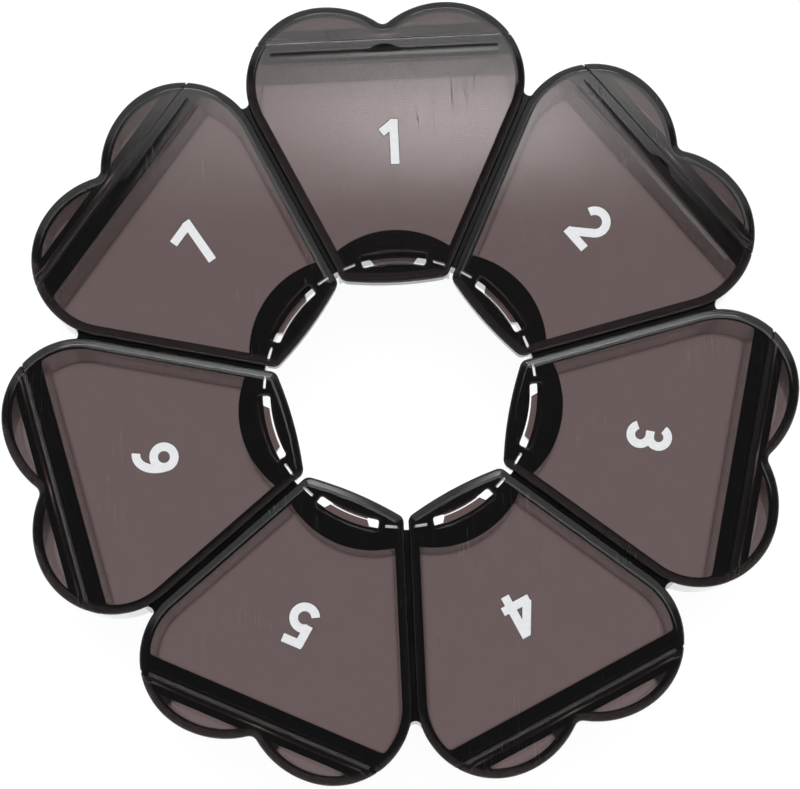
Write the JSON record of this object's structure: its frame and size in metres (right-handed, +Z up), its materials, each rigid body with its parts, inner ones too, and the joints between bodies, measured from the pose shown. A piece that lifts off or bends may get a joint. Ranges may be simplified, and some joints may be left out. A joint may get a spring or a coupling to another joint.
{
  "type": "weekly pill organizer",
  "caption": "Flower-shaped ring of heart-shaped pill boxes in clear smoke plastic, one a day; each heart's lid swings up from a thin crease beside its fixed lobe cover.",
  "frame": {"origin": "centre of the ring at the level of the surface it stands on", "axes": "+Z up, +Y through the middle of monday's heart, +X to its right as seen from above; the days run clockwise seen from above"},
  "size_m": [0.136, 0.1333, 0.0222],
  "materials": {
    "smoke_cup": "clear smoke tint, gloss",
    "smoke_lid": "clear smoke tint, high gloss",
    "smoke_cover": "clear smoke tint, high gloss"
  },
  "bodies": {
    "tray": {"mon_cup": "smoke_cup", "mon_cover": "smoke_cover", "tue_cup": "smoke_cup", "tue_cover": "smoke_cover", "wed_cup": "smoke_cup", "wed_cover": "smoke_cover", "thu_cup": "smoke_cup", "thu_cover": "smoke_cover", "fri_cup": "smoke_cup", "fri_cover": "smoke_cover", "sat_cup": "smoke_cup", "sat_cover": "smoke_cover", "sun_cup": "smoke_cup", "sun_cover": "smoke_cover"},
    "mon_lid": {"mon_lid": "smoke_lid"},
    "tue_lid": {"tue_lid": "smoke_lid"},
    "wed_lid": {"wed_lid": "smoke_lid"},
    "thu_lid": {"thu_lid": "smoke_lid"},
    "fri_lid": {"fri_lid": "smoke_lid"},
    "sat_lid": {"sat_lid": "smoke_lid"},
    "sun_lid": {"sun_lid": "smoke_lid"}
  },
  "joints": [
    {"name": "mon_lid_hinge", "type": "hinge", "parent": "tray", "child": "mon_lid", "pos_m": [0, 0.06085, 0.0222], "axis": [-1, 0, 0], "range_deg": [0, 120]},
    {"name": "tue_lid_hinge", "type": "hinge", "parent": "tray", "child": "tue_lid", "pos_m": [0.04758, 0.03794, 0.0222], "axis": [-0.6235, 0.7818, 0], "range_deg": [0, 120]},
    {"name": "wed_lid_hinge", "type": "hinge", "parent": "tray", "child": "wed_lid", "pos_m": [0.05933, -0.01354, 0.0222], "axis": [0.2225, 0.9749, 0], "range_deg": [0, 120]},
    {"name": "thu_lid_hinge", "type": "hinge", "parent": "tray", "child": "thu_lid", "pos_m": [0.0264, -0.05483, 0.0222], "axis": [0.901, 0.4339, 0], "range_deg": [0, 120]},
    {"name": "fri_lid_hinge", "type": "hinge", "parent": "tray", "child": "fri_lid", "pos_m": [-0.0264, -0.05483, 0.0222], "axis": [0.901, -0.4339, 0], "range_deg": [0, 120]},
    {"name": "sat_lid_hinge", "type": "hinge", "parent": "tray", "child": "sat_lid", "pos_m": [-0.05933, -0.01354, 0.0222], "axis": [0.2225, -0.9749, 0], "range_deg": [0, 120]},
    {"name": "sun_lid_hinge", "type": "hinge", "parent": "tray", "child": "sun_lid", "pos_m": [-0.04758, 0.03794, 0.0222], "axis": [-0.6235, -0.7818, 0], "range_deg": [0, 120]}
  ]
}
